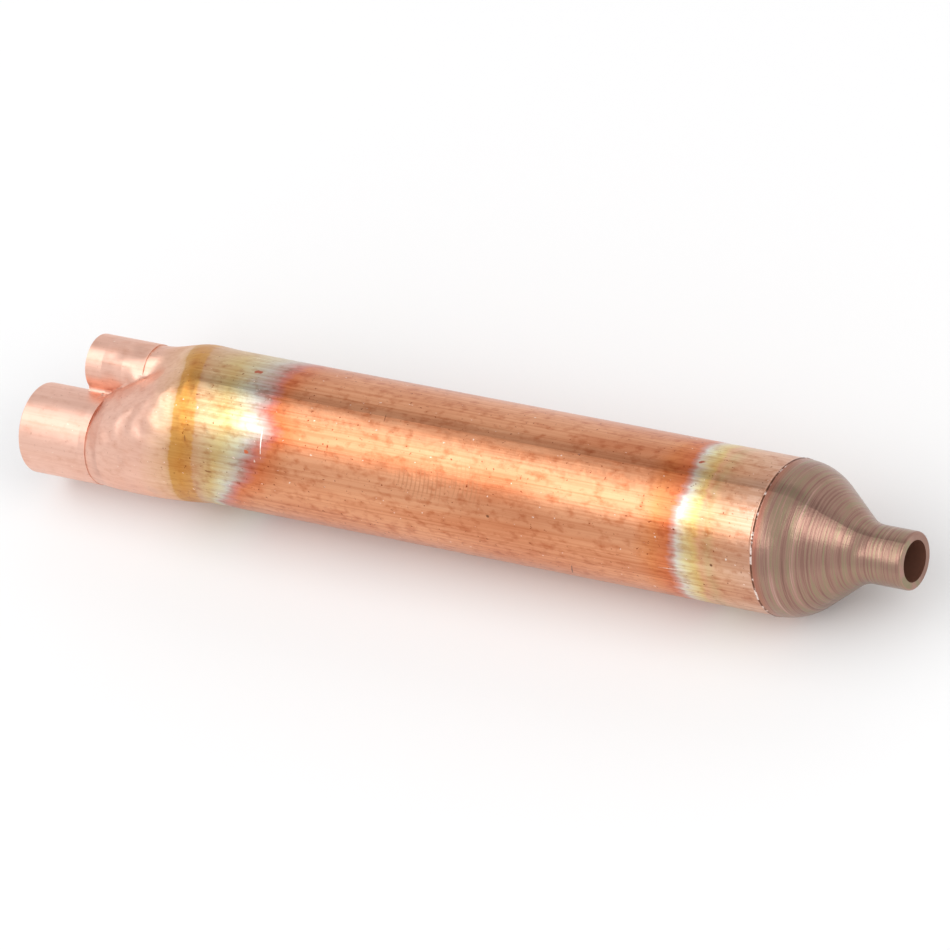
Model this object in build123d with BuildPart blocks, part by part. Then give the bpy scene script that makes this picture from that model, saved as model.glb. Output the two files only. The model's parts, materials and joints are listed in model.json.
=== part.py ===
"""Twin-inlet copper filter drier: a spun tube shell with two pinched inlet stubs, screens and beads.

X runs along the tube towards the outlet, with x = 0 at the outlet's mouth. Z is up, and the part lies on
its tube. In the pinched end, p runs from the large stub to the small one and h runs square to it.
"""

import os
from math import acos, asin, atan2, cos, degrees, exp, hypot, pi, radians, sin, sqrt

from build123d import *

# ---------------------------------------------------------------- driving dimensions, in millimetres
# The tube that the whole shell is made from.
tube_radius = 9.525
tube_wall = 0.7
overall_length = 125.0
inlet_length = 26.4  # large stub's mouth to where the large stub's side is round
outlet_length = 16.7  # outlet's mouth to the line where spinning starts

# The pinched inlet end.
roll = 59.0  # lean of the plane through both stubs from upright, as the part comes to rest
large_stub_radius = 5.65
large_bore_radius = 5.05
large_stub_length = 10.0
large_stub_reach = 10.02  # tube's axis to the stub's outer side
small_stub_radius = 3.65
small_bore_radius = 3.05
small_stub_length = 8.6
small_stub_setback = 6.6  # how far the small mouth lies behind the large one
web_half_thickness = 0.7  # half of the two walls pressed together between the stubs
groove_radius = 0.5
mouth_round = 0.15

# The taper between the stubs' roots and the round tube.
small_side_length = 23.4  # large stub's mouth to where the small stub's side is round
root_dip = 0.12  # how far the taper starts below each stub
belly = 0.3  # how far the large side swells past its straight line
large_bow = 1.4  # more than 1 brings the large side's curve softly into the tube's
pocket_bow = 1.7  # more than 1 keeps the pocket by the small stub low for longer
pocket_tail = 2.0  # how far past the small side the pocket takes to fill out
ridge_bow = 1.15  # the same for the taper's top line
web_fill = 0.22  # share of the gap between the two lobes that metal fills where the taper starts
valley_depth = 0.4  # soft dent that runs from the large stub's root up to the ridge
valley_start_angle = 100.0  # its place at the large stub's root, in degrees round from the small stub
valley_end_angle = 68.0  # and where the small stub's side is round
valley_width = 15.0
seam_offset = 3.0  # from the small side's end to where the taper dives into the tube
seam_slope = 0.035
tube_overlap = 0.9  # how far the round tube starts inside the taper
taper_lead = 1.0  # how far the taper starts inside the large stub
taper_tail = 3.0  # how far it runs on inside the round tube
bore_overrun = 1.2  # how far each bore runs on past its stub's root
chamber_shift = 0.9  # how far the hollow lags behind the outside, along the tube

# The spun outlet end.
burr_height = 0.08
burr_width = 0.5
shoulder_share = 0.655  # the shoulder's radius, as a share of the spun length
throat_share = 0.336  # the throat's radius, as the same share
neck_radius = 3.565
neck_length = 4.8
neck_wall = 1.0
lip_round = 0.25

# What the shell holds.
screen_clearance = 0.03
screen_pitch = 2.0
screen_gap = 1.3
screen_field = 6.4
inlet_ring_place = 28.6  # large stub's mouth to the ring's inlet face
inlet_ring_length = 3.0
inlet_ring_wall = 0.8
inlet_screen_thickness = 0.5
outlet_ring_length = 3.0
outlet_ring_wall = 0.8
outlet_screen_thickness = 0.5
outlet_dome_height = 2.6
dome_clearance = 0.1
bed_clearance = 0.05

# ---------------------------------------------------------------- places worked out from them
large_mouth_x = -overall_length
small_mouth_x = large_mouth_x + small_stub_setback
large_root_x = large_mouth_x + large_stub_length
small_root_x = small_mouth_x + small_stub_length
round_x = large_mouth_x + inlet_length
small_side_x = large_mouth_x + small_side_length
pocket_end_x = small_side_x + pocket_tail
spin_x = -outlet_length
neck_x = -neck_length
shoulder_radius = shoulder_share * (neck_x - spin_x)
throat_radius = throat_share * (neck_x - spin_x)
bore_radius = tube_radius - tube_wall

large_stub_p = large_stub_radius - large_stub_reach
half_web_of_large = sqrt(large_stub_radius**2 - web_half_thickness**2)
half_web_of_small = sqrt(small_stub_radius**2 - web_half_thickness**2)
web_p = large_stub_p + half_web_of_large
small_stub_p = web_p + half_web_of_small
small_stub_reach = small_stub_p + small_stub_radius

towards_small_stub = (0, sin(radians(roll)), cos(radians(roll)))

outline_points = 36
section_count = 22


def cross_plane(x):
    """Plane across the tube at x, with p as its x and h as its y."""
    return Plane(origin=(x, 0, 0), x_dir=towards_small_stub, z_dir=(1, 0, 0))


def blend(start, end, share):
    """Value at a share of the way from start to end."""
    return start + (end - start) * share


def circle_radius(angle, centre_p, radius):
    """Distance from the tube's axis, at an angle from p, to the far side of a circle, or 0 if it misses."""
    along = centre_p * cos(angle)
    reach = along**2 - centre_p**2 + radius**2
    return along + sqrt(reach) if reach > 0 else 0.0


def hull_radius(angle, large_p, large_r, small_p, small_r):
    """Distance from the tube's axis, at an angle from p, to the outline round two circles."""
    gap = small_p - large_p
    if gap <= abs(large_r - small_r):
        return max(circle_radius(angle, large_p, large_r), circle_radius(angle, small_p, small_r))
    normal_angle = acos((large_r - small_r) / gap)
    normal = (cos(normal_angle), sin(normal_angle))
    large_touch = atan2(large_r * normal[1], large_p + large_r * normal[0])
    small_touch = atan2(small_r * normal[1], small_p + small_r * normal[0])
    if angle >= large_touch:
        return circle_radius(angle, large_p, large_r)
    if angle <= small_touch:
        return circle_radius(angle, small_p, small_r)
    line_distance = large_p * normal[0] + large_r
    return line_distance / cos(angle - normal_angle)


def ease(share):
    """Smooth step from 0 to 1 as share goes from 0 to 1."""
    capped = min(max(share, 0.0), 1.0)
    return capped * capped * (3 - 2 * capped)


def taper_outline(x, inset):
    """Closed outline of the taper at x, pulled in by inset, with evenly spread knots for a clean loft."""
    large_share = min(max((x - large_root_x) / (round_x - large_root_x), 0.0), 1.0)
    small_share = min(max((x - small_root_x) / (small_side_x - small_root_x), 0.0), 1.0)
    round_radius = tube_radius + seam_slope * (small_side_x + seam_offset - x) - inset
    large_r = blend(large_stub_radius - root_dip - inset, round_radius, 1 - (1 - large_share) ** large_bow)
    large_reach = blend(large_stub_reach - root_dip / 2 - inset, round_radius, large_share)
    large_reach += belly * 4 * large_share * (1 - large_share)
    large_p = large_r - large_reach
    pocket_share = min(max((x - small_root_x) / (pocket_end_x - small_root_x), 0.0), 1.0)
    small_r = blend(small_stub_radius - root_dip - inset, round_radius, ease(pocket_share**pocket_bow))
    small_reach = blend(small_stub_reach - root_dip - inset, round_radius, ease(small_share**ridge_bow))
    small_p = small_reach - small_r
    fill = blend(web_fill, 1.0, ease(small_share**pocket_bow))
    valley_share = (x - large_root_x) / (small_side_x - large_root_x)
    valley_angle = blend(valley_start_angle, valley_end_angle, valley_share)
    dent = valley_depth * ease(1.5 * (1 - valley_share)) if inset == 0 else 0.0
    points = []
    for number in range(outline_points):
        turn = 2 * pi * number / outline_points - pi
        large_lobe = circle_radius(abs(turn), large_p, large_r)
        small_lobe = circle_radius(abs(turn), small_p, small_r)
        hull = hull_radius(abs(turn), large_p, large_r, small_p, small_r)
        radius = blend(max(large_lobe, small_lobe), hull, fill)
        off_valley = (degrees(abs(turn)) - valley_angle) / valley_width
        radius -= dent * exp(-(off_valley**2))
        points.append((radius * cos(turn), radius * sin(turn), 0))
    knots = [number / outline_points for number in range(outline_points + 1)]
    return Edge.make_spline([Vector(*point) for point in points], periodic=True, parameters=knots)


def spun_outline(start_x, tube_inset, neck_inset):
    """Half outline of the tube from start_x to the outlet's mouth, pulled in by the two insets."""
    outer = tube_radius - tube_inset
    neck = neck_radius - neck_inset
    shoulder = shoulder_radius - tube_inset
    throat = throat_radius + neck_inset
    run = neck_x - spin_x
    drop = (neck + throat) - (outer - shoulder)
    cone = atan2(run, drop) - acos((shoulder + throat) / hypot(run, drop))
    shoulder_end = (spin_x + shoulder * sin(cone), outer - shoulder * (1 - cos(cone)))
    throat_start = (neck_x - throat * sin(cone), neck + throat * (1 - cos(cone)))
    half = cone / 2
    shoulder_mid = (spin_x + shoulder * sin(half), outer - shoulder * (1 - cos(half)))
    throat_mid = (neck_x - throat * sin(half), neck + throat * (1 - cos(half)))
    Line((start_x, 0), (start_x, outer))
    Line((start_x, outer), (spin_x, outer))
    ThreePointArc((spin_x, outer), shoulder_mid, shoulder_end)
    Line(shoulder_end, throat_start)
    ThreePointArc(throat_start, throat_mid, (neck_x, neck))
    Line((neck_x, neck), (0, neck))
    Line((0, neck), (0, 0))
    Line((0, 0), (start_x, 0))


# ---------------------------------------------------------------- shell
taper_start_x = large_root_x - taper_lead
taper_end_x = round_x + taper_tail
tube_start_x = round_x - tube_overlap

with BuildPart() as shell:
    # Two stubs whose pressed walls meet in a softened groove.
    with BuildSketch(cross_plane(large_mouth_x)):
        with Locations((large_stub_p, 0)):
            Circle(large_stub_radius)
    extrude(amount=large_stub_length)
    with BuildSketch(cross_plane(small_mouth_x)):
        with Locations((small_stub_p, 0)):
            Circle(small_stub_radius)
    extrude(amount=small_stub_length)
    grooves = shell.edges().filter_by(GeomType.LINE).filter_by(Axis.X)
    grooves = grooves.filter_by(lambda edge: abs(cross_plane(0).to_local_coords(edge @ 0.5).X - web_p) < 0.01)
    fillet(grooves, groove_radius)
    for number in range(section_count):
        section_x = blend(taper_start_x, taper_end_x, number / (section_count - 1))
        with BuildSketch(cross_plane(section_x)):
            with BuildLine():
                add(taper_outline(section_x, 0.0))
            make_face()
    loft()
    # The tube and its spun outlet, with the burr that spinning left.
    with BuildSketch(Plane.XZ):
        with BuildLine():
            spun_outline(tube_start_x, 0.0, 0.0)
        make_face()
    revolve(axis=Axis.X)
    with BuildSketch(Plane.XZ):
        with BuildLine():
            ThreePointArc(
                (spin_x - burr_width, tube_radius),
                (spin_x - burr_width / 2, tube_radius + burr_height),
                (spin_x, tube_radius),
            )
            Line((spin_x, tube_radius), (spin_x, tube_radius - tube_wall / 2))
            Line((spin_x, tube_radius - tube_wall / 2), (spin_x - burr_width, tube_radius - tube_wall / 2))
            Line((spin_x - burr_width, tube_radius - tube_wall / 2), (spin_x - burr_width, tube_radius))
        make_face()
    revolve(axis=Axis.X)
    # The hollow.
    with BuildSketch(cross_plane(large_mouth_x)):
        with Locations((large_stub_p, 0)):
            Circle(large_bore_radius)
    extrude(amount=large_stub_length + bore_overrun, mode=Mode.SUBTRACT)
    with BuildSketch(cross_plane(small_mouth_x)):
        with Locations((small_stub_p, 0)):
            Circle(small_bore_radius)
    extrude(amount=small_stub_length + bore_overrun, mode=Mode.SUBTRACT)
    for number in range(1, section_count):
        section_x = blend(taper_start_x, taper_end_x, number / (section_count - 1))
        with BuildSketch(cross_plane(section_x + chamber_shift)):
            with BuildLine():
                add(taper_outline(section_x, tube_wall))
            make_face()
    loft(mode=Mode.SUBTRACT)
    with BuildSketch(Plane.XZ):
        with BuildLine():
            spun_outline(tube_start_x + chamber_shift, tube_wall, neck_wall)
        make_face()
    revolve(axis=Axis.X, mode=Mode.SUBTRACT)
    # Rounded outer edges of the outlet's lip and the large stub's mouth.
    for edge_x, edge_round in ((0, lip_round), (large_mouth_x, mouth_round)):
        mouth_edges = shell.edges().filter_by_position(Axis.X, edge_x, edge_x)
        fillet(mouth_edges.sort_by(SortBy.LENGTH)[-1], edge_round)
shell.part.label = "shell"

# ---------------------------------------------------------------- inlet screen
inlet_ring_x = large_mouth_x + inlet_ring_place
inlet_screen_x = inlet_ring_x + inlet_ring_length
fit_radius = bore_radius - screen_clearance


def gap_places(pitch, field):
    """Places of a woven screen's square gaps that lie inside a round field."""
    count = int(field / pitch)
    steps = [pitch * number for number in range(-count, count + 1)]
    return [(p, h) for p in steps for h in steps if hypot(p, h) <= field]


with BuildPart() as inlet_screen_ring:
    with BuildSketch(cross_plane(inlet_ring_x)):
        Circle(fit_radius)
        Circle(fit_radius - inlet_ring_wall, mode=Mode.SUBTRACT)
    extrude(amount=inlet_ring_length)
inlet_screen_ring.part.label = "inlet_screen_ring"

with BuildPart() as inlet_screen:
    with BuildSketch(cross_plane(inlet_screen_x)):
        Circle(fit_radius)
        with Locations(*gap_places(screen_pitch, screen_field)):
            Rectangle(screen_gap, screen_gap, mode=Mode.SUBTRACT)
    extrude(amount=inlet_screen_thickness)
inlet_screen.part.label = "inlet_screen"

# ---------------------------------------------------------------- outlet screen, domed through its ring
outlet_ring_x = spin_x - outlet_ring_length
outlet_screen_x = outlet_ring_x - outlet_screen_thickness
dome_radius = fit_radius - outlet_ring_wall - dome_clearance

with BuildPart() as outlet_screen_ring:
    with BuildSketch(cross_plane(outlet_ring_x)):
        Circle(fit_radius)
        Circle(fit_radius - outlet_ring_wall, mode=Mode.SUBTRACT)
    extrude(amount=outlet_ring_length)
outlet_screen_ring.part.label = "outlet_screen_ring"


def dome_outline(base_x, radius, height):
    """Half outline of a shallow round dome that stands on base_x."""
    sphere_radius = (radius**2 + height**2) / (2 * height)
    half_turn = asin(radius / sphere_radius) / 2
    middle_x = base_x + height - sphere_radius * (1 - cos(half_turn))
    ThreePointArc((base_x, radius), (middle_x, sphere_radius * sin(half_turn)), (base_x + height, 0))
    Line((base_x + height, 0), (base_x, 0))
    Line((base_x, 0), (base_x, radius))


with BuildPart() as outlet_screen:
    with BuildSketch(cross_plane(outlet_screen_x)):
        Circle(fit_radius)
    extrude(amount=outlet_screen_thickness)
    with BuildSketch(Plane.XZ):
        with BuildLine():
            dome_outline(outlet_ring_x, dome_radius, outlet_dome_height)
        make_face()
    revolve(axis=Axis.X)
    with BuildSketch(Plane.XZ):
        with BuildLine():
            dome_outline(outlet_screen_x, dome_radius - outlet_screen_thickness, outlet_dome_height)
        make_face()
    revolve(axis=Axis.X, mode=Mode.SUBTRACT)
    with BuildSketch(cross_plane(outlet_screen_x)):
        with Locations(*gap_places(screen_pitch, screen_field)):
            Rectangle(screen_gap, screen_gap)
    extrude(amount=outlet_dome_height + outlet_screen_thickness, mode=Mode.SUBTRACT)
outlet_screen.part.label = "outlet_screen"

# ---------------------------------------------------------------- desiccant beads, as the bed that they fill
bed_start_x = inlet_screen_x + inlet_screen_thickness + bed_clearance
bed_end_x = outlet_screen_x - bed_clearance
bed_dome_radius = dome_radius - outlet_screen_thickness - bed_clearance

with BuildPart() as desiccant_beads:
    with BuildSketch(cross_plane(bed_start_x)):
        Circle(bore_radius - bed_clearance)
    extrude(amount=bed_end_x - bed_start_x)
    with BuildSketch(Plane.XZ):
        with BuildLine():
            dome_outline(bed_end_x, bed_dome_radius, outlet_dome_height - bed_clearance)
        make_face()
    revolve(axis=Axis.X)
desiccant_beads.part.label = "desiccant_beads"

# ---------------------------------------------------------------- export
os.makedirs("parts", exist_ok=True)
export_step(shell.part, "parts/shell.step")
export_step(inlet_screen_ring.part, "parts/inlet_screen_ring.step")
export_step(inlet_screen.part, "parts/inlet_screen.step")
export_step(desiccant_beads.part, "parts/desiccant_beads.step")
export_step(outlet_screen.part, "parts/outlet_screen.step")
export_step(outlet_screen_ring.part, "parts/outlet_screen_ring.step")
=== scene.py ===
"""Looks of a twin-inlet copper filter drier: heat-tinted tube, woven screens and beads."""

import json
import logging
import math
import random
from dataclasses import dataclass, field
from enum import Enum

import bmesh
import bpy
from mathutils import Matrix, Vector


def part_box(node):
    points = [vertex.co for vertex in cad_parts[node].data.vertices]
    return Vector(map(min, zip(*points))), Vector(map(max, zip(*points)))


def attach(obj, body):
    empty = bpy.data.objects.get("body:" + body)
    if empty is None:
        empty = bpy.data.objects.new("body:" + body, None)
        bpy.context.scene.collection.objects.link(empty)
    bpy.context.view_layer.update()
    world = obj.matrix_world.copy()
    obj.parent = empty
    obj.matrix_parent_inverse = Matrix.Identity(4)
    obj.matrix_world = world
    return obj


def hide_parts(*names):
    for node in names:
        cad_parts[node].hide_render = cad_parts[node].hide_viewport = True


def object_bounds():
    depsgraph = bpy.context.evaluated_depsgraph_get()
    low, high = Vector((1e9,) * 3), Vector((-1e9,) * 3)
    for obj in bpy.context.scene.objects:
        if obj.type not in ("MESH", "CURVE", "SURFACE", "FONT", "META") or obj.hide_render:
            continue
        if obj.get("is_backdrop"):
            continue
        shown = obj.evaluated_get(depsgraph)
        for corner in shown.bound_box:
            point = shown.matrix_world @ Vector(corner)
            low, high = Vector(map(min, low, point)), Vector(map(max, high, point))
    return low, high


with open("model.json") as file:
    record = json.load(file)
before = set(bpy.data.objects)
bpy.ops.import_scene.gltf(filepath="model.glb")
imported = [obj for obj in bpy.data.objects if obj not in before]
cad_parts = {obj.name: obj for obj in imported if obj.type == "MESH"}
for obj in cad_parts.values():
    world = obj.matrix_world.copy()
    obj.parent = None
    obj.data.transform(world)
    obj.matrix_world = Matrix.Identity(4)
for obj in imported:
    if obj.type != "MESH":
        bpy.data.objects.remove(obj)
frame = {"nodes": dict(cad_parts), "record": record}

MM = 0.001
log = logging.getLogger("filter_drier")

Tree = bpy.types.NodeTree
Socket = bpy.types.NodeSocket
Value = Socket | float | tuple[float, ...]
Place = dict[str, Socket]
Stops = tuple[tuple[float, str], ...]


class Slot(Enum):
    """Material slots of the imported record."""

    MESH = "mesh"
    BEADS = "beads"


# ---------------- small helpers


def blend(start: float, end: float, share: float) -> float:
    """Find the value at a share of the way from start to end.

    Args:
        start: Value at a share of 0.
        end: Value at a share of 1.
        share: Share of the way.

    Returns:
        The value there.
    """
    return start + (end - start) * share


def linear(hex_colour: str) -> tuple[float, float, float, float]:
    """Turn an sRGB hex colour into the linear values that Blender's sockets take.

    Args:
        hex_colour: Six hex digits with a leading #.

    Returns:
        Red, green, blue and an alpha of 1.
    """
    shares = [int(hex_colour[at : at + 2], 16) / 255 for at in (1, 3, 5)]
    values = [s / 12.92 if s <= 0.04045 else ((s + 0.055) / 1.055) ** 2.4 for s in shares]
    return (*values, 1.0)


def add_node(
    tree: Tree, kind: str, inputs: dict[str | int, Value] | None = None, **settings: object
) -> bpy.types.Node:
    """Add a node with its settings, values and links.

    Args:
        tree: Tree that gets the node.
        kind: The node's type.
        inputs: Value or output socket for each input, by name or number.
        **settings: Properties of the node itself.

    Returns:
        The new node.
    """
    node = tree.nodes.new(kind)
    for name, value in settings.items():
        setattr(node, name, value)
    for socket, value in (inputs or {}).items():
        if isinstance(value, bpy.types.NodeSocket):
            tree.links.new(value, node.inputs[socket])
        else:
            node.inputs[socket].default_value = value
    return node


def maths(tree: Tree, operation: str, *values: Value) -> Socket:
    """Work out one value from others.

    Args:
        tree: Tree that gets the node.
        operation: The math node's operation.
        *values: What it works on, in the node's own order.

    Returns:
        The result.
    """
    inputs = dict(enumerate(values))
    return add_node(tree, "ShaderNodeMath", inputs, operation=operation).outputs[0]


def vector_maths(tree: Tree, operation: str, *values: Value) -> Socket:
    """Work out a vector, or a value in the case of a length or dot product, from vectors.

    Args:
        tree: Tree that gets the node.
        operation: The vector math node's operation.
        *values: What it works on, in the node's own order.

    Returns:
        The result.
    """
    node = add_node(tree, "ShaderNodeVectorMath", dict(enumerate(values)), operation=operation)
    return node.outputs["Value" if operation in ("LENGTH", "DOT_PRODUCT") else "Vector"]


def remap(
    tree: Tree,
    value: Socket,
    source: tuple[Value, Value],
    target: tuple[float, float] = (0.0, 1.0),
    way: str = "LINEAR",
) -> Socket:
    """Carry a value from one range to another, and hold it at the ends.

    Args:
        tree: Tree that gets the node.
        value: The value.
        source: The range that it comes from.
        target: The range that it goes to.
        way: Interpolation between the ends.

    Returns:
        The value in the new range.
    """
    inputs = {
        "Value": value,
        "From Min": source[0],
        "From Max": source[1],
        "To Min": target[0],
        "To Max": target[1],
    }
    return add_node(tree, "ShaderNodeMapRange", inputs, interpolation_type=way).outputs[0]


def add_noise(
    tree: Tree,
    point: Socket,
    scale: float | tuple[float, float, float],
    detail: float,
    roughness: float = 0.5,
) -> Socket:
    """Add a noise pattern.

    Args:
        tree: Tree that gets the nodes.
        point: Where the pattern is looked up.
        scale: Grains in a unit of length, or one figure per axis for grains that are drawn out.
        detail: How many finer grains lie within a grain.
        roughness: How strong those are.

    Returns:
        The pattern's height, from 0 to 1.
    """
    if isinstance(scale, tuple):
        point = add_node(tree, "ShaderNodeMapping", {"Vector": point, "Scale": scale}).outputs[0]
        scale = 1.0
    inputs = {"Vector": point, "Scale": scale, "Detail": detail, "Roughness": roughness}
    return add_node(tree, "ShaderNodeTexNoise", inputs).outputs[0]


def add_ramp(tree: Tree, value: Socket, stops: Stops) -> Socket:
    """Turn a value into a colour.

    Args:
        tree: Tree that gets the node.
        value: The value, from 0 to 1.
        stops: Places from 0 to 1, each with its hex colour.

    Returns:
        The colour.
    """
    node = add_node(tree, "ShaderNodeValToRGB", {0: value})
    elements = node.color_ramp.elements
    while len(elements) > 1:
        elements.remove(elements[-1])
    elements[0].position, elements[0].color = stops[0][0], linear(stops[0][1])
    for place, colour in stops[1:]:
        elements.new(place).color = linear(colour)
    return node.outputs[0]


def mix_colours(tree: Tree, share: Value, under: Socket, over: Value, way: str = "MIX") -> Socket:
    """Lay one colour over another.

    Args:
        tree: Tree that gets the node.
        share: How much of the upper colour shows.
        under: The lower colour.
        over: The upper colour.
        way: Blend type.

    Returns:
        The mixed colour.
    """
    inputs = {0: share, 6: under, 7: over}
    return add_node(tree, "ShaderNodeMix", inputs, data_type="RGBA", blend_type=way).outputs[2]


def new_material(name: str) -> tuple[bpy.types.Material, Tree]:
    """Make an empty node material.

    Args:
        name: The material's name.

    Returns:
        The material and its node tree.
    """
    material = bpy.data.materials.new(name)
    material.use_nodes = True
    material.node_tree.nodes.clear()
    return material, material.node_tree


def close_material(tree: Tree, inputs: dict[str | int, Value]) -> None:
    """Finish a material with its shader and output.

    Args:
        tree: The material's tree.
        inputs: Values and sockets for the shader.
    """
    shader = add_node(tree, "ShaderNodeBsdfPrincipled", inputs)
    add_node(tree, "ShaderNodeOutputMaterial", {"Surface": shader.outputs[0]})


def dress(piece: bpy.types.Object, material: bpy.types.Material) -> None:
    """Give an object this material alone.

    Args:
        piece: The object.
        material: Its only material.
    """
    piece.data.materials.clear()
    piece.data.materials.append(material)


def pick_nothing() -> None:
    """Leave edit mode and deselect every object."""
    if bpy.context.object and bpy.context.object.mode != "OBJECT":
        bpy.ops.object.mode_set(mode="OBJECT")
    bpy.ops.object.select_all(action="DESELECT")


# ---------------- finishes


@dataclass(frozen=True)
class Mark:
    """A scratch, stain or chip on the tube.

    Attributes:
        along: Its place along the tube, in millimetres.
        around: Its place round the tube from the small stub's side, in degrees.
        length: Half its length, in millimetres.
        width: Half its width, in millimetres.
        turn: Turn of its length away from the tube's axis, in degrees.
        colour: Colour that it leaves.
        strength: How much of that colour shows.
        ragged: How far the grain breaks up its edge.
        edge: Where it starts to show and where it is full, in mark sizes with the grain's share.
    """

    along: float
    around: float
    length: float
    width: float
    turn: float
    colour: str
    strength: float
    ragged: float = 1.2
    edge: tuple[float, float] = (1.5, 1.2)


@dataclass(frozen=True)
class Rub:
    """A patch of fine arcs that a rocking jaw rubbed into the tube.

    Attributes:
        along: Its place along the tube, in millimetres.
        around: Its place round the tube from the small stub's side, in degrees.
        length: Half its length, in millimetres.
        width: Half its width, in millimetres.
        radius: Radius of the arcs, in millimetres.
        pitch: Distance between the arcs, in millimetres.
        colour: Colour of the arcs.
        strength: How much of that colour shows.
        ragged: How far the grain breaks up the patch's edge.
        edge: Where it starts to show and where it is full, as for a mark.
        crest: Heights of the wave between which an arc shows.
    """

    along: float
    around: float
    length: float
    width: float = 2.4
    radius: float = 7.0
    pitch: float = 0.6
    colour: str = "#c2825c"
    strength: float = 0.6
    ragged: float = 1.4
    edge: tuple[float, float] = (1.8, 1.3)
    crest: tuple[float, float] = (0.1, 0.9)


@dataclass(frozen=True)
class Mottle:
    """A layer of darker patches on handled copper.

    Attributes:
        scale: Patches in a millimetre, along the tube and across it.
        detail: How many finer patches lie within one.
        low: Height of the pattern at which a patch starts to show.
        high: Height at which it is darkest.
        dark: Its darkest colour.
    """

    scale: tuple[float, float, float]
    detail: float
    low: float
    high: float
    dark: str


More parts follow.
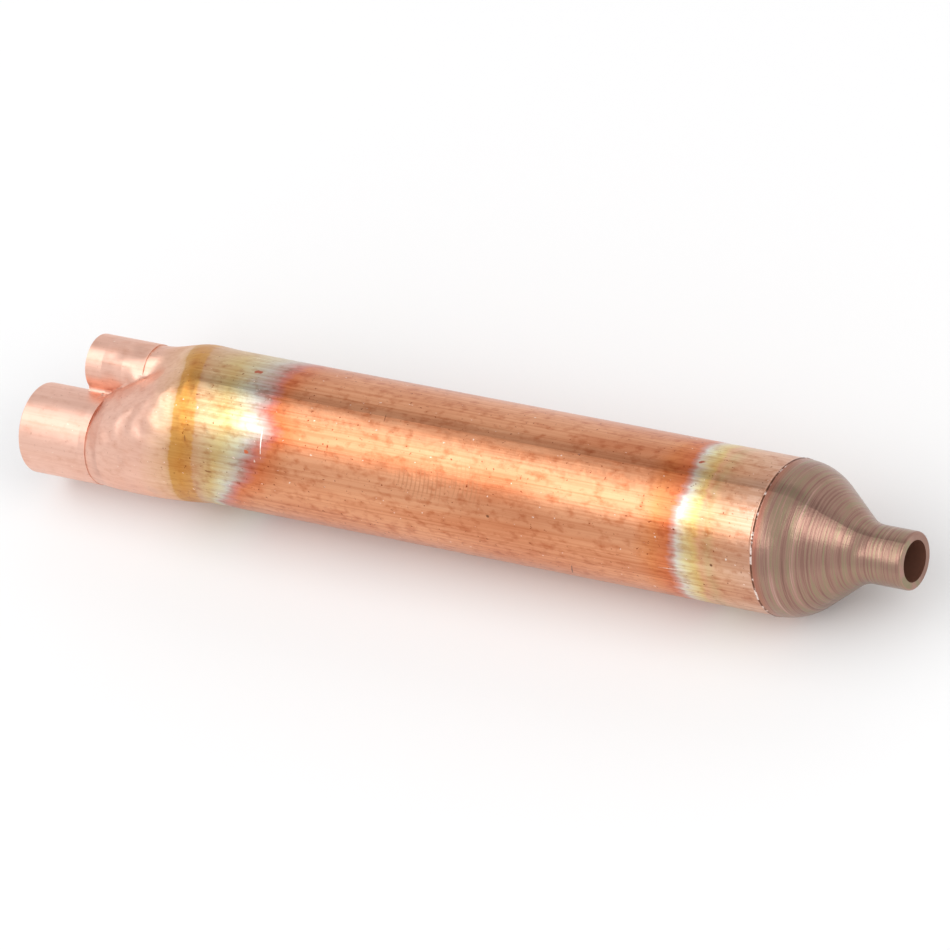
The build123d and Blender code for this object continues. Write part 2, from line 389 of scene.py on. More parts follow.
@dataclass(frozen=True)
class HeatTintedCopper:
    """Drawn and annealed copper tube, spun and pinched cold, with oxide colours from brazing.

    Copper drawn through a die keeps fine lengthwise lines. The oxide film that heat leaves grows
    through amber, silver, violet and orange as it thickens, so the tint edges run as narrow bands
    round the tube. The spun end carries the tool's rings and a browner film. Places are in
    millimetres along the tube from the outlet's mouth, negative towards the stubs.

    Attributes:
        lean: Turn of the plane through both stubs from upright, in radians.
        marks: Scratches and stains.
        rubs: Patches of rubbed arcs.
        mottles: Layers of darker patches.
        tube_radius: The tube's outer radius.
        spin_line: Where the spun end begins.
        ring_left: Start of the amber ring.
        ring_right: End of the amber ring.
        ring_skew: How far the ring leans over towards the small stub.
        ring_bow: How far the ring bows.
        stub_fade: Length over which the stubs' pink turns to amber.
        front_base: Place that the front edge's curve counts from.
        front_span: Length that the curve covers.
        front_edge: Where the body's orange begins, by the cosine of the angle round the tube.
        front_fade: Length over which that edge fades into the body.
        right_edge: Where the body's orange ends.
        right_fades: Ends of the colour zones about that edge, counted from it.
        tints: Oxide colours, one unit for each zone between two edges.
        die_swing: How far the die lines make an edge ragged.
        heat_swing: How far the patches of heat do.
        ring_ragged: Share of that which the ring's edges take.
        right_ragged: Share which the right edge takes.
        rough_span: Shares of the way through the zones between which the roughness changes.
        roughness: Roughness of the soft stubs and of the hard drawn body.
        worn_span: Where the mottle grows from its least to its full strength.
        worn_least: Strength of the mottle on the stubs.
        chip_levels: Heights of the pattern between which a bare speck shows.
        chip_strength: How much of a bare speck shows.
        chip_colour: Its colour.
        spun_film: Colours of the spun end, by the height of the tool's rings.
        burr_chips_and_shade: Colours along the burr: painted shade of the crevice, dark, broken by
            bright chips.
        line_blur: Half the width over which the spun film begins.
        flush_span: Reach of the red flush past the spin line, far end first.
        flush_strength: How much of the flush shows.
        flush_colour: Its colour.
        burr_back: How far the burr's middle lies behind the spin line.
        burr_half: Half widths of the burr's colour and painted shade, outer and full.
        inward: How far a face turns to the axis, as a cosine, for the painted bore shade to start
            and be full.
        bore_shade_lead: Length over which the painted bore shade begins before the spin line.
        bore_shade_dull: How much the metal is dulled under the painted bore shade.
        bore_shade_colour: Colour of the painted shade inside the bore.
        hollow_span: Where the pinched end's soft hollows grow to full depth.
        stub_span: Where they fade out on the stubs, stub side first.
        stub_hollow: Share of the hollows left on the stubs.
    """

    lean: float
    marks: tuple[Mark, ...]
    rubs: tuple[Rub, ...] = (Rub(-63.5, 100.0, 4.6), Rub(-57.2, 96.0, 2.6))
    mottles: tuple[Mottle, ...] = (
        Mottle((0.05, 0.25, 0.25), 4.0, 0.42, 0.8, "#e2c3b0"),
        Mottle((0.03, 3.6, 3.6), 2.0, 0.4, 0.8, "#e6d2c4"),
        Mottle((0.7, 1.1, 1.1), 6.0, 0.5, 0.8, "#dcb8a2"),
        Mottle((2.2, 2.6, 2.6), 2.0, 0.68, 0.76, "#a8735a"),
    )
    tube_radius: float = 9.525
    spin_line: float = -16.7
    ring_left: float = -100.35
    ring_right: float = -96.8
    ring_skew: float = -0.85
    ring_bow: float = -2.9
    stub_fade: float = 12.0
    front_base: float = -100.0
    front_span: float = 20.0
    front_edge: tuple[tuple[float, float], ...] = (
        (-1.0, -95.5),
        (-0.7, -91.2),
        (-0.4, -88.3),
        (-0.12, -86.8),
        (0.0, -85.6),
        (0.25, -87.6),
        (0.5, -88.7),
        (0.8, -88.0),
        (1.0, -87.2),
    )
    front_fade: float = 6.0
    right_edge: float = -27.5
    right_fades: tuple[float, ...] = (-6.0, 0.0, 5.0, 12.0)
    tints: Stops = (
        (0.0, "#f1c5b2"),
        (0.6, "#f0c3ae"),
        (0.95, "#e8bf9c"),
        (1.0, "#dfb68a"),
        (1.07, "#d3a05a"),
        (1.5, "#d2994f"),
        (1.9, "#d6a462"),
        (2.0, "#d8b087"),
        (2.12, "#dabb92"),
        (2.4, "#dcc78e"),
        (2.64, "#dfddbc"),
        (2.86, "#d3d2ca"),
        (2.97, "#cdb0aa"),
        (3.14, "#d68c80"),
        (3.36, "#e08a5c"),
        (3.8, "#e3a076"),
        (4.0, "#e5a47c"),
        (5.0, "#e5a47c"),
        (5.45, "#e39460"),
        (5.82, "#de8458"),
        (5.94, "#d8a69c"),
        (6.04, "#e4e3d9"),
        (6.26, "#eae0ae"),
        (6.46, "#e6cb88"),
        (6.62, "#e6b890"),
        (6.85, "#dcbc90"),
        (7.1, "#e2b491"),
        (8.0, "#dfb6a0"),
    )
    die_swing: float = 2.2
    heat_swing: float = 5.0
    ring_ragged: float = 0.3
    right_ragged: float = 0.6
    rough_span: tuple[float, float] = (0.0, 0.3)
    roughness: tuple[float, float] = (0.44, 0.29)
    worn_span: tuple[float, float] = (-104.0, -97.0)
    worn_least: float = 0.35
    chip_levels: tuple[float, float] = (0.755, 0.79)
    chip_strength: float = 0.8
    chip_colour: str = "#f6dccb"
    spun_film: Stops = (
        (0.3, "#86665a"),
        (0.42, "#997568"),
        (0.5, "#a68374"),
        (0.55, "#968a6c"),
        (0.62, "#b0867a"),
        (0.75, "#c2a294"),
    )
    # Painted shade along the crevice at the spin line, dark, with bright chips of the burr.
    burr_chips_and_shade: Stops = (
        (0.45, "#6b4638"),
        (0.54, "#8a5f4e"),
        (0.6, "#f0ddd2"),
    )
    line_blur: float = 0.05
    flush_span: tuple[float, float] = (1.1, 0.2)
    flush_strength: float = 0.6
    flush_colour: str = "#b06a55"
    burr_back: float = 0.12
    burr_half: tuple[float, float] = (0.16, 0.06)
    inward: tuple[float, float] = (-0.1, -0.4)
    bore_shade_lead: float = 1.0
    bore_shade_dull: float = 0.6
    bore_shade_colour: str = "#855a49"
    hollow_span: tuple[float, float] = (-99.0, -106.0)
    stub_span: tuple[float, float] = (-116.0, -113.0)
    stub_hollow: float = 0.15

    def build(self) -> bpy.types.Material:
        """Build the material.

        Returns:
            The finished material.
        """
        material, tree = new_material("copper_tube_drawn_spun_heat_tinted")
        place = self._place(tree)
        colour, rough = self._tints(tree, place)
        colour = self._body(tree, place, colour)
        colour, rings = self._spun(tree, place, colour)
        colour, metal = self._bore_shade(tree, place, colour)
        colour = self._marks(tree, place, colour)
        close_material(
            tree,
            {
                "Base Color": colour,
                "Metallic": metal,
                "Roughness": rough,
                "Normal": self._relief(tree, place, rings),
            },
        )
        return material

    def _place(self, tree: Tree) -> Place:
        """Work out where a point lies on the tube, in millimetres.

        Args:
            tree: The material's tree.

        Returns:
            Sockets by name: point, along, share (cosine of the angle from the small stub's side),
            angle, spoke (direction out from the axis), streak (die lines) and cloud (heat).
        """
        source = add_node(tree, "ShaderNodeTexCoord").outputs["Object"]
        point = add_node(
            tree,
            "ShaderNodeMapping",
            {"Vector": source, "Rotation": (self.lean, 0, 0), "Scale": (1 / MM, 1 / MM, 1 / MM)},
        ).outputs[0]
        along, away, up = add_node(tree, "ShaderNodeSeparateXYZ", {0: point}).outputs
        side = maths(tree, "MULTIPLY", away, -1.0)
        across = add_node(tree, "ShaderNodeCombineXYZ", {"Y": side, "Z": up}).outputs[0]
        spoke = vector_maths(tree, "MULTIPLY", source, (0, 1, 1))
        return {
            "point": point,
            "along": along,
            "share": maths(tree, "DIVIDE", up, vector_maths(tree, "LENGTH", across)),
            "angle": maths(tree, "ARCTAN2", side, up),
            "spoke": vector_maths(tree, "NORMALIZE", spoke),
            # Die lines run 20 times as far along the tube as across it, about 0.4 mm apart.
            "streak": add_noise(tree, point, (0.12, 2.4, 2.4), 3.0),
            # Patches of heat about 7 mm across.
            "cloud": add_noise(tree, point, 0.15, 3.0),
        }

    def _tints(self, tree: Tree, place: Place) -> tuple[Socket, Socket]:
        """Colour the tube by the oxide bands, whose edges are ragged along the die lines.

        Args:
            tree: The material's tree.
            place: Sockets that say where a point lies.

        Returns:
            Colour and roughness.
        """
        ragged = maths(tree, "MULTIPLY_ADD", place["streak"], self.die_swing, -self.die_swing / 2)
        ragged = maths(tree, "MULTIPLY_ADD", place["cloud"], self.heat_swing, ragged)
        ragged = maths(tree, "SUBTRACT", ragged, self.heat_swing / 2)
        # The ring is the least ragged edge. Skew and bow go with the share and its square.
        skew = maths(tree, "MULTIPLY_ADD", place["share"], self.ring_bow, self.ring_skew)
        skew = maths(tree, "MULTIPLY", place["share"], skew)
        ring = maths(tree, "MULTIPLY_ADD", ragged, self.ring_ragged, skew)
        front = maths(tree, "ADD", self._front(tree, place), ragged)
        right = maths(tree, "MULTIPLY_ADD", ragged, self.right_ragged, self.right_edge)
        borders = [
            (ring, self.ring_left - self.stub_fade),
            (ring, self.ring_left),
            (ring, self.ring_right),
            (front, 0.0),
            (front, self.front_fade),
            *((right, shift) for shift in self.right_fades),
        ]
        edges = [maths(tree, "ADD", base, shift) for base, shift in borders]
        total: Value = 0.0
        for low, high in zip(edges, edges[1:]):
            total = maths(tree, "ADD", remap(tree, place["along"], (low, high)), total)
        zones = len(edges) - 1
        share = maths(tree, "DIVIDE", total, float(zones))
        colour = add_ramp(tree, share, tuple((at / zones, tint) for at, tint in self.tints))
        # Soft annealed copper by the stubs scatters more than the hard drawn body.
        return colour, remap(tree, share, self.rough_span, self.roughness)

    def _front(self, tree: Tree, place: Place) -> Socket:
        """Draw the front edge's course round the tube.

        Args:
            tree: The material's tree.
            place: Sockets that say where a point lies.

        Returns:
            The edge's place along the tube.
        """
        half = maths(tree, "MULTIPLY_ADD", place["share"], 0.5, 0.5)
        curve = add_node(tree, "ShaderNodeFloatCurve", {"Value": half})
        points = curve.mapping.curves[0].points
        while len(points) < len(self.front_edge):
            points.new(0.5, 0.5)
        for point, (share, edge) in zip(points, self.front_edge):
            point.location = ((share + 1) / 2, (edge - self.front_base) / self.front_span)
        curve.mapping.update()
        return maths(tree, "MULTIPLY_ADD", curve.outputs[0], self.front_span, self.front_base)

    def _body(self, tree: Tree, place: Place, colour: Socket) -> Socket:
        """Add the mottle, die lines and specks of handled copper.

        Args:
            tree: The material's tree.
            place: Sockets that say where a point lies.
            colour: Colour so far.

        Returns:
            Colour with the wear on it.
        """
        # Annealing wiped the stubs clean, so the mottle grows past the pinched end.
        aged = remap(tree, place["along"], self.worn_span, (self.worn_least, 1.0))
        for layer in self.mottles:
            noise = add_noise(tree, place["point"], layer.scale, layer.detail)
            shade = add_ramp(tree, noise, ((layer.low, "#ffffff"), (layer.high, layer.dark)))
            colour = mix_colours(tree, aged, colour, shade, "MULTIPLY")
        # Bare bright specks where handling knocked the film off, about 0.2 mm across.
        noise = add_noise(tree, place["point"], (1.6, 2.4, 2.4), 1.0)
        chip = remap(tree, noise, self.chip_levels, (0.0, self.chip_strength))
        return mix_colours(tree, chip, colour, linear(self.chip_colour))

    def _spun(self, tree: Tree, place: Place, colour: Socket) -> tuple[Socket, Socket]:
        """Cover the spun end in the tool's rings, with the browner film that spinning burns on,
        and paint shade into the crevice at its edge.

        Args:
            tree: The material's tree.
            place: Sockets that say where a point lies.
            colour: Colour so far.

        Returns:
            Colour, and the height of the rings, which is 0 off the spun end.
        """
        along, line = place["along"], self.spin_line
        spun = remap(tree, along, (line - self.line_blur, line + self.line_blur))
        # Rings about 0.3 mm apart with finer ones between, from the spinning roller's feed.
        height = add_noise(tree, place["point"], (3.2, 0.05, 0.05), 4.0, roughness=0.7)
        film = add_ramp(tree, height, self.spun_film)
        # A red flush lies along the line where the roller first bit.
        far, near = (line + reach for reach in self.flush_span)
        flush = remap(tree, along, (far, near), (0.0, self.flush_strength))
        film = mix_colours(tree, flush, film, linear(self.flush_colour))
        colour = mix_colours(tree, spun, colour, film)
        # The burr beside that line is chipped bright in places, and dark between with painted
        # shade of the crevice.
        off_line = maths(tree, "ABSOLUTE", maths(tree, "ADD", along, self.burr_back - line))
        burr_shade_line = remap(tree, off_line, self.burr_half)
        chips_and_shade = add_ramp(tree, add_noise(tree, place["point"], 1.1, 4.0), self.burr_chips_and_shade)
        colour = mix_colours(tree, burr_shade_line, colour, chips_and_shade)
        return colour, maths(tree, "MULTIPLY", height, spun)

    def _bore_shade(self, tree: Tree, place: Place, colour: Socket) -> tuple[Socket, Socket]:
        """Paint shade into the outlet's inside: a dark brown, with the metal dulled.

        Args:
            tree: The material's tree.
            place: Sockets that say where a point lies.
            colour: Colour so far.

        Returns:
            Colour, and how metallic the surface is.
        """
        # Painted shade: faces that turn in to the axis past the spin line go dark brown and less
        # metallic.
        normal = add_node(tree, "ShaderNodeNewGeometry").outputs["True Normal"]
        facing = vector_maths(tree, "DOT_PRODUCT", normal, place["spoke"])
        inside = remap(tree, facing, self.inward)
        lead = (self.spin_line - self.bore_shade_lead, self.spin_line)
        inside = maths(tree, "MULTIPLY", inside, remap(tree, place["along"], lead))
        metal = maths(tree, "MULTIPLY_ADD", inside, -self.bore_shade_dull, 1.0)
        return mix_colours(tree, inside, colour, linear(self.bore_shade_colour)), metal

    def _marks(self, tree: Tree, place: Place, colour: Socket) -> Socket:
        """Lay the scratches, stains and rubbed arcs over the colour.

        Args:
            tree: The material's tree.
            place: Sockets that say where a point lies.
            colour: Colour so far.

        Returns:
            Colour with the marks on it.
        """
        arc = maths(tree, "MULTIPLY", place["angle"], self.tube_radius)
        flat = add_node(tree, "ShaderNodeCombineXYZ", {"X": place["along"], "Y": arc}).outputs[0]
        grain = add_noise(tree, place["point"], 2.2, 4.0)
        for mark in self.marks:
            seat = vector_maths(tree, "SUBTRACT", flat, self._centre(mark))
            turned = {"Vector": seat, "Rotation": (0, 0, math.radians(mark.turn))}
            seat = add_node(tree, "ShaderNodeMapping", turned).outputs[0]
            reach = self._reach(tree, seat, mark, grain)
            mask = remap(tree, reach, mark.edge, (0.0, mark.strength))
            colour = mix_colours(tree, mask, colour, linear(mark.colour))
        for rub in self.rubs:
            seat = vector_maths(tree, "SUBTRACT", flat, self._centre(rub))
            reach = self._reach(tree, seat, rub, grain)
            swing = vector_maths(tree, "ADD", seat, (rub.radius, 0, 0))
            swing = vector_maths(tree, "LENGTH", swing)
            wave = maths(tree, "SINE", maths(tree, "MULTIPLY", swing, math.tau / rub.pitch))
            line = remap(tree, wave, rub.crest)
            mask = remap(tree, reach, rub.edge, (0.0, rub.strength))
            mask = maths(tree, "MULTIPLY", mask, line)
            colour = mix_colours(tree, mask, colour, linear(rub.colour))
        return colour

    def _centre(self, patch: Mark | Rub) -> tuple[float, float, float]:
        """Find a patch's middle on the tube's unrolled surface.

        Args:
            patch: The mark or rub.

        Returns:
            Its place along and round the tube, in millimetres, and 0.
        """
        return (patch.along, math.radians(patch.around) * self.tube_radius, 0)

    def _reach(self, tree: Tree, seat: Socket, patch: Mark | Rub, grain: Socket) -> Socket:
        """Work out how far out a point lies in a patch, whose edge is broken up by a grain.

        Args:
            tree: The material's tree.
            seat: Place from the patch's middle, along its length and width.
            patch: The mark or rub.
            grain: Fine noise that breaks up the edge.

        Returns:
            The distance, in patch sizes, plus the grain's share.
        """
        size = (1 / patch.length, 1 / patch.width, 0)
        reach = vector_maths(tree, "LENGTH", vector_maths(tree, "MULTIPLY", seat, size))
        return maths(tree, "MULTIPLY_ADD", grain, patch.ragged, reach)

    def _relief(self, tree: Tree, place: Place, rings: Socket) -> Socket:
        """Raise the fine relief: soft hollows, dents, die lines, grain and the spun rings.

        Args:
            tree: The material's tree.
            place: Sockets that say where a point lies.
            rings: Height of the spun rings.

        Returns:
            The bumped normal.
        """
        # The pinching dies left soft hollows about 4 mm wide, which fade out along the tube.
        pinched = remap(tree, place["along"], self.hollow_span, way="SMOOTHSTEP")
        stub = remap(tree, place["along"], self.stub_span, (self.stub_hollow, 1.0))
        pinched = maths(tree, "MULTIPLY", pinched, stub)
        hollows = add_noise(tree, place["point"], 0.23, 1.0)
        reliefs = (
            # (height, depth in millimetres, strength)
            (maths(tree, "MULTIPLY", hollows, pinched), 1.1, 1.0),
            (add_noise(tree, place["point"], 0.5, 2.0), 0.10, 0.5),
            (place["streak"], 0.010, 0.6),
            (add_noise(tree, place["point"], 5.0, 3.0), 0.010, 0.5),
            (rings, 0.05, 1.0),
        )
        normal = None
        for height, depth, strength in reliefs:
            inputs = {"Height": height, "Distance": depth * MM, "Strength": strength}
            if normal is not None:
                inputs["Normal"] = normal
            normal = add_node(tree, "ShaderNodeBump", inputs).outputs[0]
        return normal


@dataclass(frozen=True)
class RolledSteel:
    """Low-carbon steel strip, cold rolled and bent to a ring: grey, with fine lines round it.

    Attributes:
        colour: The bare steel's colour.
        line_depth: Depth of the rolling lines, in millimetres.
    """

    colour: str = "#a9a9ac"
    line_depth: float = 0.01

    def build(self) -> bpy.types.Material:
        """Build the material.

        Returns:
            The finished material.
        """
        material, tree = new_material("steel_strip_cold_rolled")
        source = add_node(tree, "ShaderNodeTexCoord").outputs["Object"]
        # Rolling lines about 0.1 mm apart.
        noise = add_noise(tree, source, (9000, 300, 300), 3.0)
        relief = {"Height": noise, "Distance": self.line_depth * MM}
        close_material(
            tree,
            {
                "Base Color": linear(self.colour),
                "Metallic": 1.0,
                "Roughness": remap(tree, noise, (0.0, 1.0), (0.25, 0.5)),
                "Normal": add_node(tree, "ShaderNodeBump", relief).outputs[0],
            },
        )
        return material


@dataclass(frozen=True)
class BrassWire:
    """Annealed brass wire for woven strainers: yellow, with duller patches.

    Attributes:
        bright: Colour of the clean wire.
        dull: Colour where it has dulled.
    """

    bright: str = "#d9b36a"
    dull: str = "#8f6f3c"

    def build(self) -> bpy.types.Material:
        """Build the material.

        Returns:
            The finished material.
        """
        material, tree = new_material("brass_wire_woven")
        source = add_node(tree, "ShaderNodeTexCoord").outputs["Object"]
        # Patches of about 0.4 mm.
        noise = add_noise(tree, source, 2500.0, 4.0)
        colour = add_ramp(tree, noise, ((0.35, self.bright), (0.7, self.dull)))
        close_material(tree, {"Base Color": colour, "Metallic": 1.0, "Roughness": 0.35})
        return material


@dataclass(frozen=True)
class FiredSieve:
    """Molecular sieve, rolled with clay and fired: matt tan balls with a chalky grain.

    Attributes:
        pale: Colour of the low grains.
        dark: Colour of the high ones.
        grain_depth: Depth of the grain, in millimetres.
    """

    pale: str = "#cdbb98"
    dark: str = "#a8906a"
    grain_depth: float = 0.05

    def build(self) -> bpy.types.Material:
        """Build the material.

        Returns:
            The finished material.
        """
        material, tree = new_material("molecular_sieve_fired")
        source = add_node(tree, "ShaderNodeTexCoord").outputs["Object"]
        # Grain of about 0.25 mm.
        noise = add_noise(tree, source, 4000.0, 5.0)
        relief = {"Height": noise, "Distance": self.grain_depth * MM}
        close_material(
            tree,
            {
                "Base Color": add_ramp(tree, noise, ((0.3, self.pale), (0.75, self.dark))),
                "Roughness": 0.9,
                "Normal": add_node(tree, "ShaderNodeBump", relief).outputs[0],
            },
        )
        return material


@dataclass(frozen=True)
class PaleFloor:
    """Matt white laminate, even and pale.

    Attributes:
        colour: Its colour.
    """

    colour: str = "#f4f4f3"

    def build(self) -> bpy.types.Material:
        """Build the material.

        Returns:
            The finished material.
        """
        material, tree = new_material("laminate_matt_white")
        close_material(tree, {"Base Color": linear(self.colour), "Roughness": 0.75})
        return material


# ---------------- sub-assemblies


@dataclass
class Shell:
    """The copper tube, which the frame carries whole, and its finish.

    Attributes:
        node: The CAD node.
        marks: Scratches and stains on it.
    """

    node: str = "shell"
    marks: tuple[Mark, ...] = (
        Mark(-87.1, 96, 0.10, 2.2, 3, "#fff2e8", 1.0),
        Mark(-91.5, 39.6, 0.75, 0.42, 10, "#b4553a", 0.9),
        Mark(-44.0, 159, 0.10, 1.7, -22, "#5a3526", 0.9),
        Mark(-27.2, 45, 0.5, 0.3, 20, "#b0503a", 0.9),
        Mark(-22.5, 122, 0.28, 0.22, 0, "#6d4530", 0.9),
        Mark(-20.3, 115, 0.2, 0.2, 0, "#f4e2d2", 0.9),
        Mark(-28.0, 132, 2.6, 0.06, 4, "#f6dfce", 0.9),
        Mark(-89.1, 105, 0.42, 0.32, 0, "#d8693c", 0.85),
        Mark(-95.0, 127, 0.8, 0.14, 0, "#8a5a38", 0.8),
        Mark(-98.2, 104, 0.12, 0.5, 10, "#8a5a38", 0.7),
        Mark(-54.0, 118, 0.25, 0.25, 0, "#6d4530", 0.8),
        Mark(-71.0, 60, 0.12, 0.7, 12, "#8a5238", 0.6),
    )

    def lean(self) -> float:
        """Work out the lean of the plane through both stubs, from the small bore's place.

        Returns:
            The plane's turn from upright, in radians.
        """
        places = {mount["name"]: mount["pos_m"] for mount in frame["record"]["mounts"]}
        _, across, up = places["small_inlet_bore"]
        return math.atan2(across, up)

    def build(self) -> bpy.types.Object:
        """Dress the frame's own shell.

        Returns:
            The shell's object.
        """
        shell = frame["nodes"][self.node]
        dress(shell, HeatTintedCopper(lean=self.lean(), marks=self.marks).build())
        return shell


@dataclass
class ScreenRing:
    """A rolled steel ring that seats a screen, which the frame carries whole.

    Attributes:
        node: The CAD node.
    """

    node: str

    def build(self) -> bpy.types.Object:
        """Dress the frame's own ring.

        Returns:
            The ring's object.
        """
        ring = frame["nodes"][self.node]
        dress(ring, RolledSteel().build())
        return ring


@dataclass
class WovenScreen:
    """A round of plain woven wire that stands for a screen's plate.

    Attributes:
        node: The CAD node that it replaces.
        name: The new piece's name.
        pitch: Distance between wires, in millimetres.
        wire_radius: Radius of a wire, in millimetres.
        dome: Height that the middle is pressed out by, in millimetres.
        dome_radius: Radius of the pressed part, in millimetres.
        sides: Sides of a wire's section.
        cuts_per_gap: Cuts along a wire for each gap between its neighbours.
        fewest_cuts: Cuts along the shortest wire.
    """

    node: str
    name: str
    pitch: float = 0.75
    wire_radius: float = 0.13
    dome: float = 0.0
    dome_radius: float = 7.8
    sides: int = 5
    cuts_per_gap: int = 2
    fewest_cuts: int = 3

    def build(self) -> bpy.types.Object:
        """Weave the screen, press its dome and dress it.

        Returns:
            The screen's object.
        """
        low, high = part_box(self.node)
        radius = (high.y - low.y) / 2 / MM - self.wire_radius
        base = low.x / MM + 2 * self.wire_radius
        wires = []
        count = int(radius / self.pitch)
        for number in range(-count, count + 1):
            offset = number * self.pitch
            half = math.sqrt(radius**2 - offset**2)
            if half < self.pitch:
                continue
            for upright in (False, True):
                wires.append(self._wire(base, offset, half, upright, number % 2 == 0))
        pick_nothing()
        for wire in wires:
            wire.select_set(True)
        bpy.context.view_layer.objects.active = wires[0]
        bpy.ops.object.join()
        screen = bpy.context.object
        screen.name = screen.data.name = self.name
        self._press(screen)
        bpy.ops.object.shade_smooth()
        dress(screen, BrassWire().build())
        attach(screen, "root")
        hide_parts(self.node)
        return screen

    def _wire(
        self, base: float, offset: float, half: float, upright: bool, over: bool
    ) -> bpy.types.Object:
        """Make one crimped wire.

        Args:
            base: Place of the weave's middle along the tube, in millimetres.
            offset: The wire's distance from the screen's middle.
            half: Half the wire's length.
            upright: Whether it runs up the screen rather than across it.
            over: Whether it starts over its first neighbour.

        Returns:
            The wire's object.
        """
        pick_nothing()
        bpy.ops.mesh.primitive_cylinder_add(
            vertices=self.sides,
            radius=self.wire_radius * MM,
            depth=2 * half * MM,
            location=(0, 0, 0),
        )
        wire = bpy.context.object
        bpy.ops.object.mode_set(mode="EDIT")
        bpy.ops.mesh.select_all(action="DESELECT")
        shape = bmesh.from_edit_mesh(wire.data)
        for edge in shape.edges:
            edge.select = abs(edge.verts[0].co.z - edge.verts[1].co.z) > half * MM
        bmesh.update_edit_mesh(wire.data)
        cuts = max(self.fewest_cuts, int(2 * half / self.pitch * self.cuts_per_gap))
        bpy.ops.mesh.subdivide(number_cuts=cuts)
        bpy.ops.object.mode_set(mode="OBJECT")
        sign = 1 if over != upright else -1
        for vertex in wire.data.vertices:
            run = vertex.co.z
            rise = sign * self.wire_radius * MM * math.cos(math.pi * run / (self.pitch * MM))
            side, lift = vertex.co.x, vertex.co.y + rise
            if upright:
                vertex.co = (base * MM + lift, offset * MM + side, run)
            else:
                vertex.co = (base * MM + lift, run, offset * MM + side)
        return wire

    def _press(self, screen: bpy.types.Object) -> None:
        """Press the middle of the screen out into a dome along the tube.

        Args:
            screen: The flat screen.
        """
        if not self.dome:
            return
        for vertex in screen.data.vertices:
            reach = math.hypot(vertex.co.y, vertex.co.z) / MM / self.dome_radius
            if reach < 1:
                vertex.co.x += self.dome * MM * (1 - reach**2)


@dataclass
class BeadBed:
    """The fill of loose beads, laid in turned layers inside the tube.

    Attributes:
        node: The CAD node that it replaces.
        name: The new piece's name.
        bead_radius: Radius of a bead, in millimetres.
        segments: Sides of a bead.
        rings: Rings of a bead.
        seed: Seed of the random turns.
        spread: Distance between the beads' middles, in millimetres.
        dome_room: Length kept clear for the outlet screen's dome, in millimetres.
        spare_rows: Rows laid past the tube's wall, since a layer's shift may bring them in.
    """

    node: str = "desiccant_beads"
    name: str = "sieve_beads"
    bead_radius: float = 1.2
    segments: int = 8
    rings: int = 6
    seed: int = 7
    spread: float = 2.42
    dome_room: float = 2.6
    spare_rows: int = 3

    def build(self) -> bpy.types.Object:
        """Fill the tube with beads and dress them.

        Returns:
            The bed's object.
        """
        pick_nothing()
        bpy.ops.mesh.primitive_uv_sphere_add(
            segments=self.segments,
            ring_count=self.rings,
            radius=self.bead_radius * MM,
            location=(0, 0, 0),
        )
        bead = bpy.context.object
        points = [vertex.co.copy() for vertex in bead.data.vertices]
        faces = [tuple(face.vertices) for face in bead.data.polygons]
        places = self._places()
        vertices = [point + place for place in places for point in points]
        polygons = [
            tuple(corner + start * len(points) for corner in face)
            for start in range(len(places))
            for face in faces
        ]
        bed = bpy.data.meshes.new(self.name)
        bed.from_pydata(vertices, [], polygons)
        bed.shade_smooth()
        bead.data = bed
        bead.name = self.name
        dress(bead, FiredSieve().build())
        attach(bead, "root")
        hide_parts(self.node)
        return bead

    def _places(self) -> list[Vector]:
        """Find the beads' middles, layer by layer, each layer turned and shifted at random.

        Returns:
            The middles, in metres.
        """
        chance = random.Random(self.seed)
        low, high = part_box(self.node)
        room = (high.y - low.y) / 2 / MM - self.bead_radius
        start = low.x / MM + self.bead_radius
        end = high.x / MM - self.dome_room - self.bead_radius
        layers = int((end - start) / self.spread)
        rows = int(room / self.spread) + self.spare_rows
        places = []
        for layer in range(layers + 1):
            turn = chance.uniform(0, math.pi)
            shift = Vector((chance.uniform(-1, 1), chance.uniform(-1, 1)))
            depth = blend(start, end, layer / layers)
            for row in range(-rows, rows + 1):
                for column in range(-rows, rows + 1):
                    right = self.spread * (column + row / 2)
                    spot = Vector((right, self.spread * row * math.sqrt(3) / 2)) + shift
                    if spot.length > room:
                        continue
                    spot = Matrix.Rotation(turn, 2) @ spot
                    places.append(Vector((depth, spot.x, spot.y)) * MM)
        return places


# ---------------- studio


@dataclass
class Softbox:
    """A rectangular soft light.

    Attributes:
        name: The light's name.
        towards: Direction from the part to the light.
        distance: Distance from the part, in metres.
        width: Its size along the tube, in metres.
        height: Its other size, in metres.
        power: Its power, in watts.
        colour: Its colour.
    """

    name: str
    towards: tuple[float, float, float]
    distance: float
    width: float
    height: float
    power: float
    colour: str = "#ffffff"

    def build(self, target: Vector, settle: Matrix) -> bpy.types.Object:
        """Place the light and aim it.

        Args:
            target: Point that it is aimed at.
            settle: Turn that brings the direction to the part as it lies.

        Returns:
            The light's object.
        """
        lamp = bpy.data.lights.new(self.name, "AREA")
        lamp.shape = "RECTANGLE"
        lamp.size, lamp.size_y = self.width, self.height
        lamp.energy = self.power
        lamp.color = linear(self.colour)[:3]
        light = bpy.data.objects.new(self.name, lamp)
        bpy.context.collection.objects.link(light)
        back = settle @ Vector(self.towards).normalized()
        light.location = target + back * self.distance
        light.rotation_euler = back.to_track_quat("Z", "Y").to_euler()
        return light


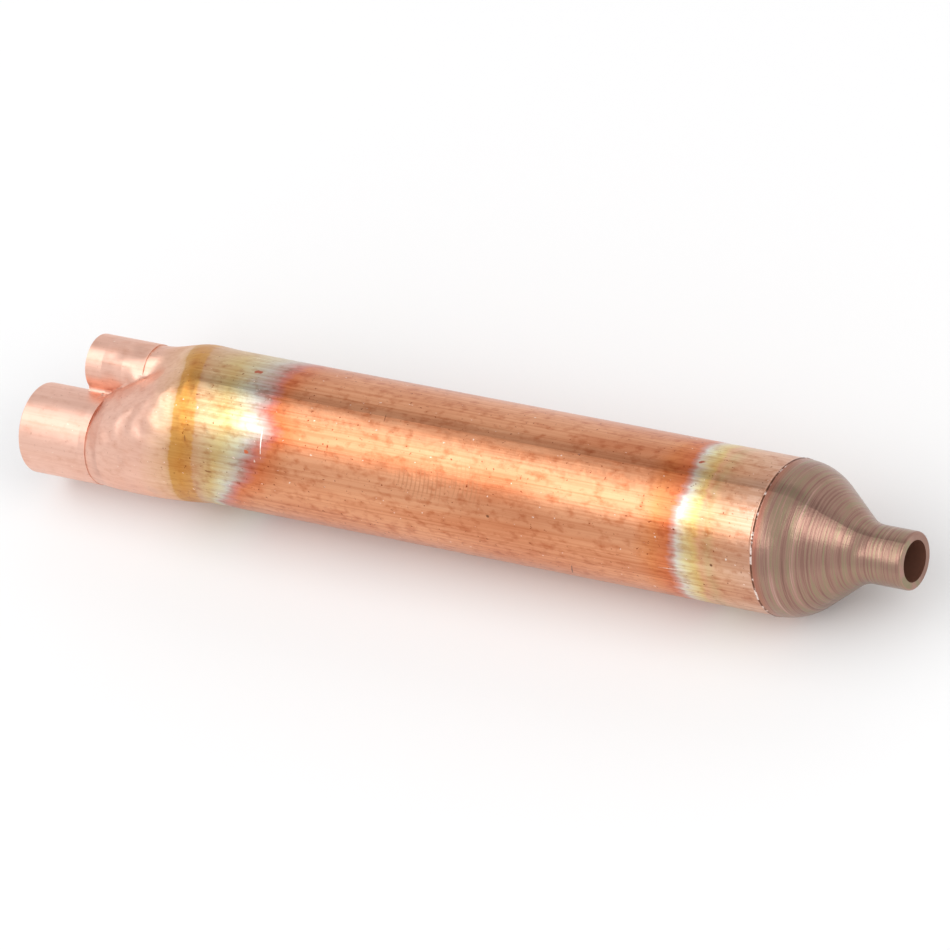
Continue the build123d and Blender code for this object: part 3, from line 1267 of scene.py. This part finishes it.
@dataclass
class Studio:
    """The floor, the lights and the camera.

    Attributes:
        lean: Turn of the plane through both stubs from upright, in radians.
        view_lean: The same turn as the camera's angles below are given for, in degrees.
        azimuth: The camera's turn about the upright, in degrees.
        elevation: The camera's height, in degrees.
        distance: The camera's distance, in metres.
        focus: The camera's focal length, in pixels of the picture.
        shift: Shift of the picture's middle, in pixels.
        picture: Side of the square picture, in pixels.
        sensor: Width of the camera's sensor, in millimetres.
        clip: Nearest and farthest distance that the camera sees, in metres.
        target: Point that the camera and lights are aimed at.
        lights: The soft lights.
        floor_size: Side of the floor, in metres.
        floor_gap: Gap under the part, in millimetres, which keeps the faces from fighting.
        room_colour: Colour of the room's light.
        room_light: Strength of the room's light.
        flag_light: Strength that is left behind the flag.
        flag_towards: Direction from the part to the flag.
        flag_edges: Half widths of the flag, fully dark and fully clear, in degrees.
    """

    lean: float
    view_lean: float = 20.0
    azimuth: float = 33.394
    elevation: float = 17.248
    distance: float = 1.25997
    focus: float = 10438.3
    shift: tuple[float, float] = (14.197, 2.982)
    picture: int = 950
    sensor: float = 36.0
    clip: tuple[float, float] = (0.01, 10.0)
    target: Vector = field(default_factory=lambda: Vector((-60 * MM, 0, 0)))
    lights: tuple[Softbox, ...] = (
        Softbox("key_softbox", (-0.526, -0.739, 0.42), 0.75, 1.1, 0.30, 1.9),
        Softbox("right_softbox", (0.85, -0.35, 0.40), 0.7, 0.35, 0.5, 1.2),
    )
    floor_size: float = 6.0
    floor_gap: float = 0.02
    room_colour: str = "#fbfbfd"
    room_light: float = 0.9
    flag_light: float = 0.4
    flag_towards: tuple[float, float, float] = (-0.5, -0.04, 0.86)
    flag_edges: tuple[float, float] = (5.0, 11.0)

    def build(self) -> None:
        """Set up the floor, the lights, the world and the camera."""
        settle = Matrix.Rotation(math.radians(self.view_lean) - self.lean, 3, "X")
        self._floor()
        for softbox in self.lights:
            softbox.build(self.target, settle)
        self._world(settle)
        self._camera(settle)
        view = bpy.context.scene.view_settings
        view.view_transform = "Standard"
        view.look = "None"

    def _floor(self) -> None:
        """Lay the floor just under the part's lowest point."""
        low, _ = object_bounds()
        pick_nothing()
        height = low[2] - self.floor_gap * MM
        bpy.ops.mesh.primitive_plane_add(size=self.floor_size, location=(0, 0, height))
        floor = bpy.context.object
        floor.name = "floor"
        dress(floor, PaleFloor().build())
        floor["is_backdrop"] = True

    def _world(self, settle: Matrix) -> None:
        """Light the room evenly, but for a dark flag overhead that draws a line down the tube.

        Args:
            settle: Turn that brings the flag's direction to the part as it lies.
        """
        world = bpy.data.worlds.new("studio_room")
        bpy.context.scene.world = world
        world.use_nodes = True
        tree = world.node_tree
        background = tree.nodes["Background"]
        background.inputs["Color"].default_value = linear(self.room_colour)
        towards = settle @ Vector(self.flag_towards).normalized()
        level = Vector((1, 0, 0))
        edge = towards.cross(level).normalized()
        face = level.cross(edge).normalized()
        direction = add_node(tree, "ShaderNodeTexCoord").outputs["Generated"]
        off = vector_maths(tree, "DOT_PRODUCT", direction, tuple(edge))
        ahead = vector_maths(tree, "DOT_PRODUCT", direction, tuple(face))
        turn = maths(tree, "ABSOLUTE", maths(tree, "ARCTAN2", off, ahead))
        dark, clear = (math.radians(width) for width in self.flag_edges)
        levels = (self.flag_light, self.room_light)
        strength = remap(tree, turn, (dark, clear), levels, way="SMOOTHSTEP")
        tree.links.new(strength, background.inputs["Strength"])

    def _camera(self, settle: Matrix) -> None:
        """Set up a long lens at the part's three-quarter view.

        Args:
            settle: Turn that brings the view to the part as it lies.
        """
        turn, rise = math.radians(self.azimuth), math.radians(self.elevation)
        right = Vector((math.cos(turn), math.sin(turn), 0))
        back = Vector(
            (math.cos(rise) * math.sin(turn), -math.cos(rise) * math.cos(turn), math.sin(rise))
        )
        up = back.cross(right)
        axes = settle @ Matrix((right, up, back)).transposed()
        data = bpy.data.cameras.new("camera")
        data.sensor_width = self.sensor
        data.lens = self.focus / self.picture * data.sensor_width
        data.shift_x = -self.shift[0] / self.picture
        data.shift_y = self.shift[1] / self.picture
        data.clip_start, data.clip_end = self.clip
        camera = bpy.data.objects.new("camera", data)
        bpy.context.collection.objects.link(camera)
        place = self.target + axes.col[2] * self.distance
        camera.matrix_world = Matrix.Translation(place) @ axes.to_4x4()
        bpy.context.scene.camera = camera


def main() -> None:
    """Build the part's looks and the studio round it."""
    logging.basicConfig(level=logging.INFO, format="%(name)s: %(message)s")
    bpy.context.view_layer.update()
    shell = Shell()
    parts = (
        shell,
        ScreenRing("inlet_screen_ring"),
        ScreenRing("outlet_screen_ring"),
        WovenScreen("inlet_screen", "inlet_woven_screen"),
        WovenScreen("outlet_screen", "outlet_woven_screen", dome=2.3),
        BeadBed(),
    )
    for part in parts:
        piece = part.build()
        log.info("%s: %d faces", piece.name, len(piece.data.polygons))
    Studio(lean=shell.lean()).build()


if __name__ == "__main__":
    main()
